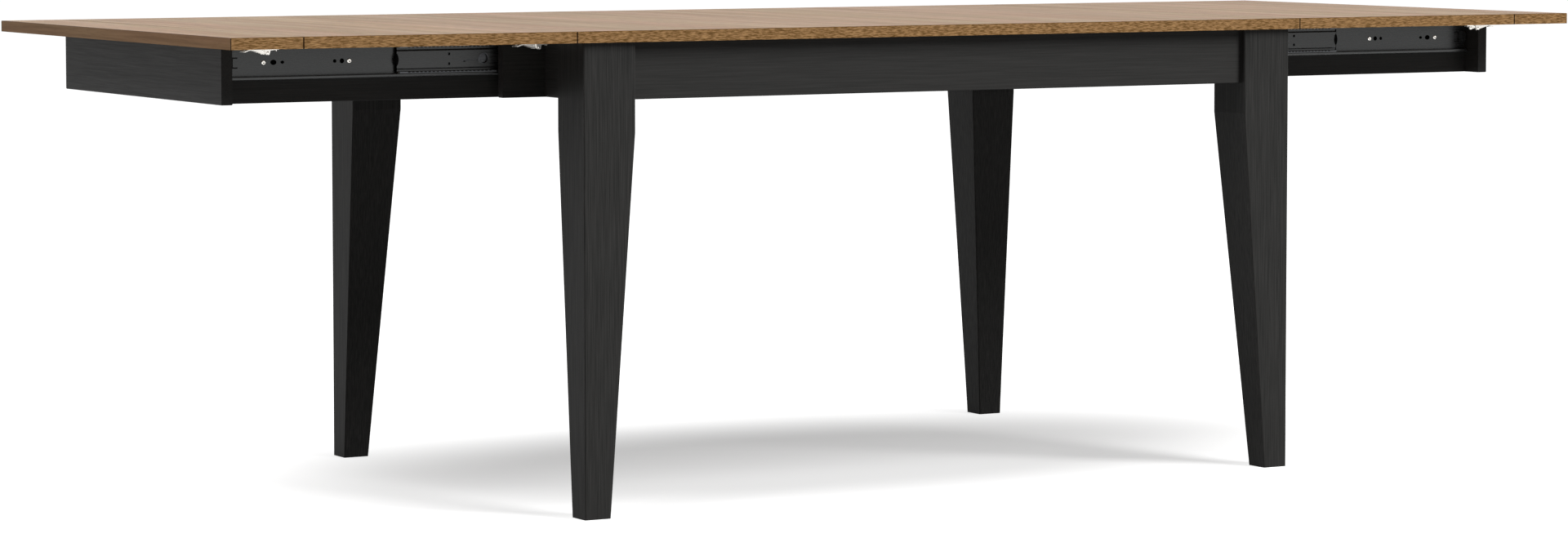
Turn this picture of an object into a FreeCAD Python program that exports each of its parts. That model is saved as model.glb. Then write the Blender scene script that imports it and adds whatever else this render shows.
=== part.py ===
import FreeCAD, Part
import math
import os

# Extension dining table: a four-leg frame with a fixed middle top, and a frame at each end that draws
# out on ball-bearing slides to make room for a loose leaf.
# Millimetres, +Z up. The origin is on the floor under the middle of the top; X runs along the table.
# The model stands drawn out, with both leaves in. Every sub-part is drawn at the right-hand back
# corner, where X and Y are positive, and mirrored from there to the left and to the front.

Vector = FreeCAD.Vector

# ---- driving dimensions -------------------------------------------------------------------------
# the top
CLOSED_LENGTH = 1600.0      # over the end panels, with no leaf in
LEAF_LENGTH = 457.0         # room for one leaf, which is also the travel of each end
TOP_WIDTH = 970.0
TOP_HEIGHT = 760.0
PANEL_THICKNESS = 18.0
END_PANEL_LENGTH = 117.0
SEAM_GAP = 0.6              # between two panels
PANEL_ARRIS = 0.8           # chamfer round the upper face of a panel and down its corners

# the legs
LEG_SIZE = 90.0             # square, at the top
FOOT_SIZE = 45.0            # square, at the floor
LEG_STRAIGHT = 141.0        # from the top down to where the taper starts
LEG_FROM_SIDE = 10.0        # from the side of the top to the leg
LEG_FROM_SEAM = 16.0        # from the end of the fixed panel to the leg
LEG_EASE = 1.5              # chamfer on the long edges

# the fixed frame
RAIL_HEIGHT = 90.0          # aprons, bearers and rails are all this deep
APRON_THICKNESS = 20.0
SHORT_APRON_THICKNESS = 18.0
APRON_SET_BACK = 12.0       # from a leg's face to the apron's face
BEARER_THICKNESS = 16.0
CROSS_RAIL_THICKNESS = 20.0
EDGE_EASE = 1.0             # chamfer on the lower edges of the wooden frame

# the moving end frames
END_APRON_FROM_LEG = 60.0   # from a leg's inner face, past it, to the end apron's end
END_APRON_THICKNESS = 18.0
END_APRON_IN = 51.5         # from the end of the top to the end apron
END_APRON_LAP = 6.0         # the end apron runs past the bearer by this
STOP_GAP = 1.0              # from a bearer's end to the end apron, with the end pushed in
RUN_GAP = 0.3               # over a moving rail, so that it slides under the panels
MOVING_RAIL_THICKNESS = 18.0
MOVING_RAIL_LAP = 121.5     # how much of a moving rail stays inside the frame, drawn out
BRACE_THICKNESS = 18.0

# the corner blocks
BLOCK_THICKNESS = 24.0
BLOCK_HEIGHT = 62.0
BLOCK_ON_SHORT_APRON = 7.5  # how far past the bearer the block meets the short apron
LEG_CLEAR = 10.5            # from the block to the flat cut on the leg's inner corner, along X

# the ball-bearing slides: u is measured from the moving rail towards the bearer, v up from the centre
SLIDE_THICKNESS = 17.5
SLIDE_HEIGHT = 53.0
SLIDE_BELOW_TOP = 27.7      # from the panels' lower face to the slide's centre
SLIDE_IN = 4.0              # from the end apron to the slide
OUTER_GAUGE = 1.5
INNER_GAUGE = 1.2
BALL_RADIUS = 2.2           # rows between the outer and the middle member
INNER_BALL_RADIUS = 2.0     # rows between the middle and the inner member
BALL_CLEARANCE = 0.1
OUTER_ROW_U = 8.8
OUTER_LIP_ANGLE = 20.0      # how far the lip of the outer member wraps past its ball row
MIDDLE_BACK_U = 5.3         # back of the middle member, beside its ball rows
MIDDLE_JOGGLE = 1.2         # its web stands this much nearer to the bearer
MIDDLE_SHOULDER = 7.4       # from its flange to the flat of its web
MIDDLE_DEPTH = 7.0
INNER_DEPTH = 8.0
CORNER_RADIUS = 2.4
MIDDLE_SHORTER = 17.0       # than the outer member
MIDDLE_IN = 5.0             # its outboard end, from the outer member's, with the table closed
MIDDLE_SHARE = 0.389        # how far the middle member moves for each unit of the end's travel
MIDDLE_JOGGLE_ANGLE = 40.0
JOGGLE_RADIUS = 0.8
CAGE_GAUGE = 0.6
CAGE_FOLD = 1.0
CAGE_EDGE = 1.6             # the edge that turns in over the middle member
CAGE_PAST_MIDDLE = 0.5
INNER_CAGE_DEPTH = 4.2
CAGE_IN = 2.6               # from the end of the middle member to its outer cages
CAGE_FROM_INBOARD_END = 4.0
INNER_CAGE_LENGTH = 200.0
BALL_PITCH = 7.0
CAGE_BLANK = 12.5           # plain stretch at the outboard end of a cage
OUTER_HOLES = ((79.8, 3.4), (94.7, 2.2), (182.1, 2.2), (194.2, 3.4))    # from its end, and radius
TAB_FROM_END = 11.0         # a tab cut free on three sides in the web of the outer member
TAB_LENGTH = 9.5
TAB_HALF = 8.6
TAB_SLIT = 2.0
STOP_DEPTH = 7.5            # the outer member's web is bent up at its outboard end
STOP_HALF = 9.0
STOP_CORNER = 2.5
LATCH_HOLE_FROM_END = 149.0
LATCH_HOLE_RADIUS = 7.6
SLOT_FROM_END = 115.0
SLOT_V = -3.2
SLOT_HALF = 2.8
SLOT_DEEP = 2.0
SLIT_HALF = 0.5
SQUARES_FROM_END = 89.5
SQUARES_V = 7.7
SQUARE_SIZE = 4.0
BUMPER_IN_WEB = 3.5         # from the edge of the web's flat to the bumper
BUMPER_SAG = 2.8
BUMPER_THICKNESS = 3.0

# the latches across the seams: s is measured outboard from the seam, t across the latch
LATCH_FROM_LEG = 24.0       # from a leg's inner face to the latch's centre
LATCH_GAUGE = 1.5
LEVER_GAUGE = 1.2
WIRE_RADIUS = 1.25
WIRE_FLATS = 8
BASE_START, BASE_END = 3.0, 44.0
BASE_HALF_WIDTH = 14.0
EAR_CLEAR = 0.3             # from a cheek of the lever to the ear beside it
EAR_FOOT = 6.0              # half the ear's width at the plate, and at its tip
EAR_TIP = 3.0
LEVER_HALF_WIDTH = 9.2
PIVOT_S, PIVOT_DROP = 9.5, 9.4      # the lever's rivets: outboard of the seam, below the panel
BAIL_S, BAIL_DROP = 17.0, 6.6       # where the wire loop is hung in the lever
HOOK_S, HOOK_DROP = -10.5, 3.8      # where the wire loop holds the keeper
BAIL_CLEAR = 0.3            # from the wire to the lever's cheeks
WIRE_TO_TAB = 0.95          # slack between the closed loop and the keeper
TAB_HALF_WIDTH = 4.0
TAB_DROP = 7.5
KEEPER_START, KEEPER_END = -4.0, -24.0
KEEPER_HALF_WIDTH = 9.0
KEEPER_GAUGE = 1.3

# ---- places worked out from them ----------------------------------------------------------------
panel_under = TOP_HEIGHT - PANEL_THICKNESS
rail_bottom = panel_under - RAIL_HEIGHT
half_width = TOP_WIDTH / 2
inner_seam = CLOSED_LENGTH / 2 - END_PANEL_LENGTH
outer_seam = inner_seam + LEAF_LENGTH
top_end = outer_seam + END_PANEL_LENGTH

leg_x = inner_seam - LEG_FROM_SEAM
leg_y = half_width - LEG_FROM_SIDE
apron_face = leg_y - APRON_SET_BACK
short_apron_face = leg_x - APRON_SET_BACK

end_apron_half = leg_y - LEG_SIZE - END_APRON_FROM_LEG
bearer_face = end_apron_half - END_APRON_LAP
bearer_back = bearer_face - BEARER_THICKNESS
moving_rail_face = bearer_back - SLIDE_THICKNESS
moving_rail_back = moving_rail_face - MOVING_RAIL_THICKNESS

block_near_sum = short_apron_face - SHORT_APRON_THICKNESS + bearer_face + BLOCK_ON_SHORT_APRON
leg_inner_flat = block_near_sum + LEG_CLEAR - (leg_x + leg_y - LEG_SIZE * 2)

end_apron_face = top_end - END_APRON_IN
end_apron_back = end_apron_face - END_APRON_THICKNESS
bearer_end = end_apron_back - LEAF_LENGTH - STOP_GAP
moving_rail_start = end_apron_back - LEAF_LENGTH - MOVING_RAIL_LAP
moving_rail_top = panel_under - RUN_GAP

slide_z = panel_under - SLIDE_BELOW_TOP
slide_length = LEAF_LENGTH          # a full-extension slide is as long as its travel
outer_end = end_apron_back - SLIDE_IN
outer_start = outer_end - slide_length
inner_end = outer_end - LEAF_LENGTH
inner_start = inner_end - slide_length
middle_end = inner_end - MIDDLE_IN + MIDDLE_SHARE * LEAF_LENGTH
middle_start = middle_end - (slide_length - MIDDLE_SHORTER)
outer_row_v = SLIDE_HEIGHT / 2 - OUTER_GAUGE - BALL_RADIUS - BALL_CLEARANCE
middle_top_v = outer_row_v - BALL_RADIUS - BALL_CLEARANCE
middle_web_half = middle_top_v - MIDDLE_SHOULDER
inner_row_v = middle_top_v - INNER_GAUGE - BALL_CLEARANCE * 2 - INNER_BALL_RADIUS
inner_top_v = inner_row_v - INNER_BALL_RADIUS - BALL_CLEARANCE

latch_y = leg_y - LEG_SIZE - LATCH_FROM_LEG
bail_half_width = LEVER_HALF_WIDTH - LEVER_GAUGE - BAIL_CLEAR - WIRE_RADIUS
ear_faces = (-LEVER_HALF_WIDTH - EAR_CLEAR - LATCH_GAUGE, LEVER_HALF_WIDTH + EAR_CLEAR)


# ---- helpers ------------------------------------------------------------------------------------
def box(x, y, z):
    """A box between two values of each of X, Y and Z."""
    low = Vector(min(x), min(y), min(z))
    size = Vector(max(x), max(y), max(z)) - low
    return Part.makeBox(size.x, size.y, size.z, low)


def prism(corners, place, run):
    """A polygon of 2-D corners, put in space by place, and extruded by the vector run."""
    points = [place(*corner) for corner in corners]
    return Part.Face(Part.makePolygon(points + points[:1])).extrude(run)


def eased(shape, size, wanted):
    """Chamfer the straight edges that wanted(lowest corner, highest corner) picks."""
    edges = []
    for edge in shape.Edges:
        bounds = edge.BoundBox
        low = Vector(bounds.XMin, bounds.YMin, bounds.ZMin)
        high = Vector(bounds.XMax, bounds.YMax, bounds.ZMax)
        if wanted(low, high):
            edges.append(edge)
    return shape.makeChamfer(size, edges)


def lower_edges_eased(shape):
    bottom = shape.BoundBox.ZMin
    return eased(shape, EDGE_EASE, lambda low, high: high.z < bottom + 0.01)


def sheet(start, heading, moves, gauge, place, run):
    """A bent sheet, extruded by run. Its path follows the left-hand skin in a 2-D plane.

    moves holds ("run", length), and ("bend" or "fold", degrees, radius of the path), positive to
    the left. A bend is round; a fold is a tight bend drawn as one flat.
    """
    near, far = [], []
    x, y = start
    angle = math.radians(heading)

    def skins():
        right = angle - math.pi / 2
        return place(x, y), place(x + gauge * math.cos(right), y + gauge * math.sin(right))

    first = skins()
    here = first
    for move in moves:
        if move[0] == "run":
            x += move[1] * math.cos(angle)
            y += move[1] * math.sin(angle)
            there = skins()
            near.append(Part.makeLine(here[0], there[0]))
            far.append(Part.makeLine(here[1], there[1]))
        else:
            turn, radius = math.radians(move[1]), move[2]
            side = math.copysign(math.pi / 2, turn)
            centre = (x + radius * math.cos(angle + side), y + radius * math.sin(angle + side))
            stops = []
            for _ in range(2):
                angle += turn / 2
                x = centre[0] - radius * math.cos(angle + side)
                y = centre[1] - radius * math.sin(angle + side)
                stops.append(skins())
            middle, there = stops
            for skin, before, halfway, after in zip((near, far), here, middle, there):
                if move[0] == "bend":
                    skin.append(Part.Arc(before, halfway, after).toShape())
                else:
                    skin.append(Part.makeLine(before, after))
        here = there
    caps = [Part.makeLine(*first), Part.makeLine(*here)]
    outline = Part.Wire(Part.__sortEdges__(near + far + caps))
    return Part.Face(outline).extrude(run)


def mirrored(shape, side, row):
    """The shape at its own corner: side is -1 on the left, row is -1 at the front."""
    if side < 0:
        shape = shape.mirror(Vector(), Vector(1, 0, 0))
    if row < 0:
        shape = shape.mirror(Vector(), Vector(0, 1, 0))
    return shape


SIDES = {"left": -1, "right": 1}
ROWS = {"front": -1, "back": 1}


def at_both_rows(shape, side):
    return [mirrored(shape, side, row) for row in ROWS.values()]


def at_four_corners(shape):
    return [copy for side in SIDES.values() for copy in at_both_rows(shape, side)]


def save(name, *shapes):
    """Write one sub-part; a group of like pieces is one file of separate solids."""
    solids = [solid for shape in shapes for solid in shape.Solids]
    for solid in solids:
        assert solid.isValid() and solid.Volume > 0, name
    whole = solids[0] if len(solids) == 1 else Part.makeCompound(solids)
    whole.exportStep(f"parts/{name}.step")


# ---- the top ------------------------------------------------------------------------------------
def panel(start, end):
    board = box((start, end), (-half_width, half_width), (panel_under, TOP_HEIGHT))
    return eased(board, PANEL_ARRIS, lambda low, high: high.z > TOP_HEIGHT - 0.01)


def save_panels():
    half_gap = SEAM_GAP / 2
    save("main_top", panel(-inner_seam + half_gap, inner_seam - half_gap))
    for name, side in SIDES.items():
        save(f"leaf_{name}", mirrored(panel(inner_seam + half_gap, outer_seam - half_gap), side, 1))
        save(f"end_panel_{name}", mirrored(panel(outer_seam + half_gap, top_end), side, 1))


# ---- the fixed frame ----------------------------------------------------------------------------
def leg():
    """Square at the top, with a flat for the corner block; lower down the inner faces run in to the foot."""
    flat_top = panel_under - LEG_STRAIGHT
    levels = ((FOOT_SIZE, 0), (LEG_SIZE, flat_top), (LEG_SIZE, panel_under))
    foot, knee, top = [square_outline(size, z) for size, z in levels]
    sides = [between(*pair) for pair in ((foot, knee), (knee, top))]
    faces = [polygon(foot), polygon(top)] + [face for group in sides for face in group]
    shape = Part.Solid(Part.Shell(faces))
    flat = [(-1, -1), (leg_inner_flat + 1, -1), (-1, leg_inner_flat + 1)]
    corner = prism(
        flat,
        lambda a, b: Vector(leg_x - LEG_SIZE + a, leg_y - LEG_SIZE + b, rail_bottom),
        Vector(0, 0, RAIL_HEIGHT + 1),
    )
    return shape.cut(corner)


def square_outline(size, z):
    """A leg's outline at this height, with its corners cut off."""
    corners = []
    for x, y, step_x, step_y in ((0, 0, 0, 1), (0, size, 1, 0), (size, size, 0, -1), (size, 0, -1, 0)):
        before = (x + step_y * LEG_EASE, y - step_x * LEG_EASE)
        after = (x + step_x * LEG_EASE, y + step_y * LEG_EASE)
        corners += [before, after]
    return [Vector(leg_x - size + x, leg_y - size + y, z) for x, y in corners]


def polygon(points):
    return Part.Face(Part.makePolygon(points + points[:1]))


def between(lower, upper):
    """The flat faces between two outlines with as many corners each."""
    count = len(lower)
    following = [(k + 1) % count for k in range(count)]
    return [polygon([lower[k], lower[n], upper[n], upper[k]]) for k, n in zip(range(count), following)]


def save_legs():
    for side_name, side in SIDES.items():
        for row_name, row in ROWS.items():
            save(f"leg_{row_name}_{side_name}", mirrored(leg(), side, row))


def save_aprons():
    long_apron = box(
        (-(leg_x - LEG_SIZE), leg_x - LEG_SIZE),
        (apron_face - APRON_THICKNESS, apron_face),
        (rail_bottom, panel_under),
    )
    bearer = box((-bearer_end, bearer_end), (bearer_back, bearer_face), (rail_bottom, panel_under))
    for name, row in ROWS.items():
        save(f"apron_{name}", mirrored(lower_edges_eased(long_apron), 1, row))
        save(f"bearer_{name}", mirrored(lower_edges_eased(bearer), 1, row))
    short_apron = box(
        (short_apron_face - SHORT_APRON_THICKNESS, short_apron_face),
        (bearer_face, leg_y - LEG_SIZE),
        (rail_bottom, panel_under),
    )
    save("short_aprons", *at_four_corners(lower_edges_eased(short_apron)))


def save_cross_rail():
    """One rail between the bearers, and a tie from each bearer to its apron, in line with it."""
    x = (-CROSS_RAIL_THICKNESS / 2, CROSS_RAIL_THICKNESS / 2)
    z = (rail_bottom, panel_under)
    rail = lower_edges_eased(box(x, (-bearer_back, bearer_back), z))
    tie = lower_edges_eased(box(x, (bearer_face, apron_face - APRON_THICKNESS), z))
    save("centre_cross_rail", rail, *at_both_rows(tie, 1))


def corner_block():
    """A block across the corner, between the long apron, the short apron and the bearer."""
    apron_y = apron_face - APRON_THICKNESS
    short_apron_back = short_apron_face - SHORT_APRON_THICKNESS
    far_sum = block_near_sum - BLOCK_THICKNESS * math.sqrt(2)
    outline = [
        (block_near_sum - bearer_face, bearer_face),
        (block_near_sum - apron_y, apron_y),
        (far_sum - apron_y, apron_y),
        (far_sum - bearer_face, bearer_face),
    ]
    low = rail_bottom + (RAIL_HEIGHT - BLOCK_HEIGHT) / 2
    slab = prism(outline, lambda x, y: Vector(x, y, low), Vector(0, 0, BLOCK_HEIGHT))
    corner = box((0, short_apron_back), (bearer_face, apron_y), (rail_bottom, panel_under))
    return slab.common(corner)


# ---- the moving end frames ----------------------------------------------------------------------
def save_end_frame(name, side):
    apron = box(
        (end_apron_back, end_apron_face),
        (-end_apron_half, end_apron_half),
        (rail_bottom, panel_under),
    )
    save(f"end_apron_{name}", mirrored(lower_edges_eased(apron), side, 1))
    rail = box(
        (moving_rail_start, end_apron_back),
        (moving_rail_back, moving_rail_face),
        (rail_bottom, moving_rail_top),
    )
    for row_name, row in ROWS.items():
        save(f"moving_rail_{row_name}_{name}", mirrored(lower_edges_eased(rail), side, row))
    brace = box(
        (moving_rail_start, moving_rail_start + BRACE_THICKNESS),
        (-moving_rail_back, moving_rail_back),
        (rail_bottom, moving_rail_top),
    )
    save(f"end_brace_{name}", mirrored(lower_edges_eased(brace), side, 1))


# ---- the ball-bearing slides --------------------------------------------------------------------
def on_slide(x):
    """The plane across the slide at this X, as a function of u and v."""
    return lambda u, v: Vector(x, moving_rail_face + u, slide_z + v)


def on_web_front(x, v):
    """The plane along the slide, just behind the outer member's web."""
    return Vector(x, moving_rail_face - 1, slide_z + v)


def slide_box(x, u, v):
    return box(x, [moving_rail_face + k for k in u], [slide_z + k for k in v])


def round_hole(x, v, radius, u):
    start = Vector(x, moving_rail_face + u[0], slide_z + v)
    return Part.makeCylinder(radius, u[1] - u[0], start, Vector(0, 1, 0))


def outer_member():
    """A deep channel on the moving rail. Its lips curl round the outer ball rows."""
    lip_radius = BALL_RADIUS + BALL_CLEARANCE + OUTER_GAUGE
    corner = CORNER_RADIUS + 0.6
    lip_turn = -(90 + OUTER_LIP_ANGLE)
    lip_angle = math.radians(OUTER_LIP_ANGLE)
    start = (
        OUTER_ROW_U + lip_radius * math.cos(lip_angle),
        -outer_row_v + lip_radius * math.sin(lip_angle),
    )
    flange = ("run", OUTER_ROW_U - corner)
    moves = [
        ("bend", lip_turn, lip_radius),
        flange,
        ("bend", -90, corner),
        ("run", SLIDE_HEIGHT - 2 * corner),
        ("bend", -90, corner),
        flange,
        ("bend", lip_turn, lip_radius),
    ]
    heading = OUTER_LIP_ANGLE - 90
    run = Vector(outer_end - outer_start, 0, 0)
    shape = sheet(start, heading, moves, OUTER_GAUGE, on_slide(outer_start), run)

    web = (-1.0, OUTER_GAUGE + 1.0)
    cuts = [round_hole(outer_end - x, 0, radius, web) for x, radius in OUTER_HOLES]
    tab_root, tab_end = outer_end - TAB_FROM_END - TAB_LENGTH, outer_end - TAB_FROM_END
    slit = [
        (tab_root, TAB_HALF),
        (tab_end, TAB_HALF),
        (tab_end, -TAB_HALF),
        (tab_root, -TAB_HALF),
        (tab_root, TAB_SLIT - TAB_HALF),
        (tab_end - TAB_SLIT, TAB_SLIT - TAB_HALF),
        (tab_end - TAB_SLIT, TAB_HALF - TAB_SLIT),
        (tab_root, TAB_HALF - TAB_SLIT),
    ]
    cuts.append(prism(slit, on_web_front, Vector(0, OUTER_GAUGE + 2, 0)))

    near, far = OUTER_GAUGE / 2, OUTER_GAUGE + STOP_DEPTH
    stop = [
        (near, -STOP_HALF),
        (far - STOP_CORNER, -STOP_HALF),
        (far, STOP_CORNER - STOP_HALF),
        (far, STOP_HALF - STOP_CORNER),
        (far - STOP_CORNER, STOP_HALF),
        (near, STOP_HALF),
    ]
    bent_up = prism(stop, on_slide(outer_end - OUTER_GAUGE), Vector(OUTER_GAUGE, 0, 0))
    return shape.cut(cuts).fuse(bent_up).removeSplitter()


def middle_member():
    """A channel inside the outer one, with a joggled web, latch slit and two square holes."""
    front = MIDDLE_BACK_U + MIDDLE_DEPTH
    joggle_angle = MIDDLE_JOGGLE_ANGLE
    near_radius, far_radius = INNER_GAUGE + JOGGLE_RADIUS, JOGGLE_RADIUS
    turned = math.radians(joggle_angle)
    round_rise = (near_radius + far_radius) * (1 - math.cos(turned))
    round_run = (near_radius + far_radius) * math.sin(turned)
    slope = (MIDDLE_JOGGLE - round_rise) / math.sin(turned)
    joggle_height = round_run + slope * math.cos(turned)
    side_run = MIDDLE_SHOULDER - CORNER_RADIUS - joggle_height
    flange = ("run", MIDDLE_DEPTH - CORNER_RADIUS)
    half = [
        flange,
        ("bend", -90, CORNER_RADIUS),
        ("run", side_run),
        ("fold", -joggle_angle, near_radius),
        ("run", slope),
        ("fold", joggle_angle, far_radius),
    ]
    moves = half + [("run", 2 * middle_web_half)] + half[::-1]
    run = Vector(middle_end - middle_start, 0, 0)
    shape = sheet((front, -middle_top_v), 180, moves, INNER_GAUGE, on_slide(middle_start), run)

    through = (0.0, SLIDE_THICKNESS)
    latch_hole, slot = middle_end - LATCH_HOLE_FROM_END, middle_end - SLOT_FROM_END
    cuts = [
        round_hole(latch_hole, 0, LATCH_HOLE_RADIUS, through),
        slide_box((latch_hole, slot), through, (SLOT_V - SLIT_HALF, SLOT_V + SLIT_HALF)),
        slide_box((slot - SLOT_HALF, slot + SLOT_HALF), through, (SLOT_V - SLOT_DEEP, SLOT_V + SLIT_HALF)),
    ]
    square, half = middle_end - SQUARES_FROM_END, SQUARE_SIZE / 2
    for v in (-SQUARES_V, SQUARES_V):
        cuts.append(slide_box((square - half, square + half), through, (v - half, v + half)))
    cuts.append(bumper_lens(BALL_CLEARANCE, through))
    return shape.cut(cuts)


def bumper_lens(grow, u):
    """The outline of the rubber stop in the end of the middle member: two arcs, back to back."""
    half = middle_web_half - BUMPER_IN_WEB
    radius = (half ** 2 + BUMPER_SAG ** 2) / (2 * BUMPER_SAG)
    offset = radius - BUMPER_SAG
    discs = [round_hole(middle_end + k, 0, radius + grow, u) for k in (-offset, offset)]
    return discs[0].common(discs[1])


def bumper():
    web_back = MIDDLE_BACK_U + MIDDLE_JOGGLE
    return bumper_lens(0.0, (web_back - 0.6, web_back - 0.6 + BUMPER_THICKNESS))


def inner_member():
    """A shallow channel on the bearer, facing the other way."""
    web_run = ("run", 2 * (inner_top_v - CORNER_RADIUS))
    flange = ("run", INNER_DEPTH - CORNER_RADIUS)
    corner = ("bend", -90, CORNER_RADIUS)
    start = (SLIDE_THICKNESS - INNER_DEPTH, inner_top_v)
    run = Vector(inner_end - inner_start, 0, 0)
    moves = [flange, corner, web_run, corner, flange]
    return sheet(start, 0, moves, INNER_GAUGE, on_slide(inner_start), run)


def windows(start, end, u, v):
    """The ball windows of a cage, top and bottom, one for each ball."""
    cuts = []
    count = int((end - start - CAGE_BLANK - BALL_PITCH / 2) // BALL_PITCH)
    for k in range(count):
        x = end - CAGE_BLANK - BALL_PITCH * (k + 0.5)
        for sign in (-1, 1):
            cuts.append(slide_box((x - BALL_RADIUS, x + BALL_RADIUS), u, (sign * v[0], sign * v[1])))
    return cuts


def outer_cage():
    """A thin channel behind the middle member; its edges turn in over that member's flanges."""
    start, end = outer_start + CAGE_FROM_INBOARD_END, middle_end - CAGE_IN
    back = (OUTER_GAUGE + MIDDLE_BACK_U - CAGE_GAUGE) / 2
    skin = middle_top_v + BALL_CLEARANCE * 3 + CAGE_GAUGE
    front = MIDDLE_BACK_U + MIDDLE_DEPTH + CAGE_PAST_MIDDLE + CAGE_GAUGE
    half = [
        ("run", CAGE_EDGE),
        ("fold", -90, CAGE_FOLD),
        ("run", front - back - CAGE_FOLD * 2),
        ("fold", -90, CAGE_FOLD),
    ]
    moves = half + [("run", 2 * (skin - CAGE_FOLD))] + half[::-1]
    first = (front, -skin + CAGE_FOLD + CAGE_EDGE)
    shape = sheet(first, -90, moves, CAGE_GAUGE, on_slide(start), Vector(end - start, 0, 0))
    u = (OUTER_ROW_U - BALL_RADIUS, OUTER_ROW_U + BALL_RADIUS)
    v = (skin - CAGE_GAUGE - BALL_CLEARANCE, skin + BALL_CLEARANCE)
    return shape.cut(windows(start, end, u, v))


def inner_cage():
    """A thin channel between the middle and the inner member; its flanges hold their ball rows."""
    end = inner_end - CAGE_FROM_INBOARD_END
    start = end - INNER_CAGE_LENGTH
    back = MIDDLE_BACK_U + MIDDLE_JOGGLE + INNER_GAUGE + BALL_CLEARANCE * 3
    skin = inner_row_v + CAGE_GAUGE / 2
    flange = ("run", INNER_CAGE_DEPTH - CAGE_FOLD)
    fold = ("fold", -90, CAGE_FOLD)
    moves = [flange, fold, ("run", 2 * (skin - CAGE_FOLD)), fold, flange]
    first = (back + INNER_CAGE_DEPTH, -skin)
    return sheet(first, 180, moves, CAGE_GAUGE, on_slide(start), Vector(end - start, 0, 0))


def save_slides(name, side):
    """The front and the back slide of one end move alike, so each member is one file of two."""
    members = {
        "slide_outer": outer_member(),
        "slide_middle": middle_member(),
        "slide_inner": inner_member(),
        "ball_cages_outer": outer_cage(),
        "ball_cages_inner": inner_cage(),
        "slide_bumpers": bumper(),
    }
    for member, shape in members.items():
        save(f"{member}_{name}", *at_both_rows(shape, side))


# ---- the latches --------------------------------------------------------------------------------
def on_latch(seam, t):
    """The plane across a latch at this t, as a function of s and the drop below the panel."""
    return lambda s, drop: Vector(seam + s, latch_y + t, panel_under - drop)


def latch_box(seam, s, t, drop):
    return box([seam + k for k in s], [latch_y + k for k in t], [panel_under - k for k in drop])


def latch_base(seam):
    """A plate with an ear turned down on each side of the lever."""
    plate = latch_box(seam, (BASE_START, BASE_END), (-BASE_HALF_WIDTH, BASE_HALF_WIDTH), (0, LATCH_GAUGE))
    outline = [
        (PIVOT_S - EAR_FOOT, LATCH_GAUGE / 2),
        (PIVOT_S + EAR_FOOT, LATCH_GAUGE / 2),
        (PIVOT_S + EAR_TIP, PIVOT_DROP + EAR_TIP),
        (PIVOT_S - EAR_TIP, PIVOT_DROP + EAR_TIP),
    ]
    ears = [prism(outline, on_latch(seam, t), Vector(0, LATCH_GAUGE, 0)) for t in ear_faces]
    return plate.fuse(ears).removeSplitter()


def latch_lever(seam):
    """Two cheeks between the base's ears, joined by a plate that ends in a finger tab."""
    cheek = [(7.0, 13.0), (34.0, 5.8), (34.0, 3.6), (28.0, 2.6), (13.5, 2.6), (6.2, 6.8), (5.5, 10.5)]
    plate = [(22.0, 9.0), (36.0, 5.25), (46.0, 8.6), (46.4, 7.5), (36.4, 4.0), (22.0, 7.7)]
    shape = prism(plate, on_latch(seam, -LEVER_HALF_WIDTH), Vector(0, 2 * LEVER_HALF_WIDTH, 0))
    sides = (-LEVER_HALF_WIDTH, LEVER_HALF_WIDTH - LEVER_GAUGE)
    cheeks = [prism(cheek, on_latch(seam, t), Vector(0, LEVER_GAUGE, 0)) for t in sides]
    return shape.fuse(cheeks).removeSplitter()


def latch_bail(seam):
    """A wire loop between the lever's cheeks, drawn with eight flats. Its far side holds the keeper."""
    near, far = [on_latch(seam, side * bail_half_width) for side in (1, -1)]
    path = [near(BAIL_S, BAIL_DROP), near(HOOK_S, HOOK_DROP), far(HOOK_S, HOOK_DROP), far(BAIL_S, BAIL_DROP)]
    along = (path[1] - path[0]).normalize()
    upward = Vector(0, 1, 0).cross(along)
    ring = []
    for k in range(WIRE_FLATS + 1):
        angle = 2 * math.pi * (k + 0.5) / WIRE_FLATS
        ring.append(path[0] + (Vector(0, math.cos(angle), 0) + upward * math.sin(angle)) * WIRE_RADIUS)
    right_corners = 1
    return Part.makePolygon(path).makePipeShell([Part.makePolygon(ring)], True, False, right_corners)


def latch_keeper(seam):
    """A screwed plate with a tab turned down, which the wire loop holds from behind."""
    start, end = KEEPER_END, KEEPER_START
    plate = latch_box(seam, (start, end), (-KEEPER_HALF_WIDTH, KEEPER_HALF_WIDTH), (0, KEEPER_GAUGE))
    tab_face = HOOK_S + WIRE_RADIUS + WIRE_TO_TAB
    s = (tab_face, tab_face + KEEPER_GAUGE)
    tab = latch_box(seam, s, (-TAB_HALF_WIDTH, TAB_HALF_WIDTH), (KEEPER_GAUGE / 2, TAB_DROP))
    return plate.fuse(tab).removeSplitter()


def save_latches():
    """A latch on the outboard panel and a keeper on the inboard one, at each seam, front and back."""
    save("keepers_main_top", *at_four_corners(latch_keeper(inner_seam)))
    seams = {"leaf": inner_seam, "end": outer_seam}
    for name, side in SIDES.items():
        save(f"keepers_leaf_{name}", *at_both_rows(latch_keeper(outer_seam), side))
        for place, seam in seams.items():
            save(f"latch_bases_{place}_{name}", *at_both_rows(latch_base(seam), side))
            for row_name, row in ROWS.items():
                save(f"latch_lever_{place}_{row_name}_{name}", mirrored(latch_lever(seam), side, row))
                save(f"latch_bail_{place}_{row_name}_{name}", mirrored(latch_bail(seam), side, row))


# ---- everything ---------------------------------------------------------------------------------
os.makedirs("parts", exist_ok=True)
save_panels()
save_legs()
save_aprons()
save_cross_rail()
save("corner_blocks", *at_four_corners(corner_block()))
for end_name, end_side in SIDES.items():
    save_end_frame(end_name, end_side)
    save_slides(end_name, end_side)
save_latches()
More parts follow.
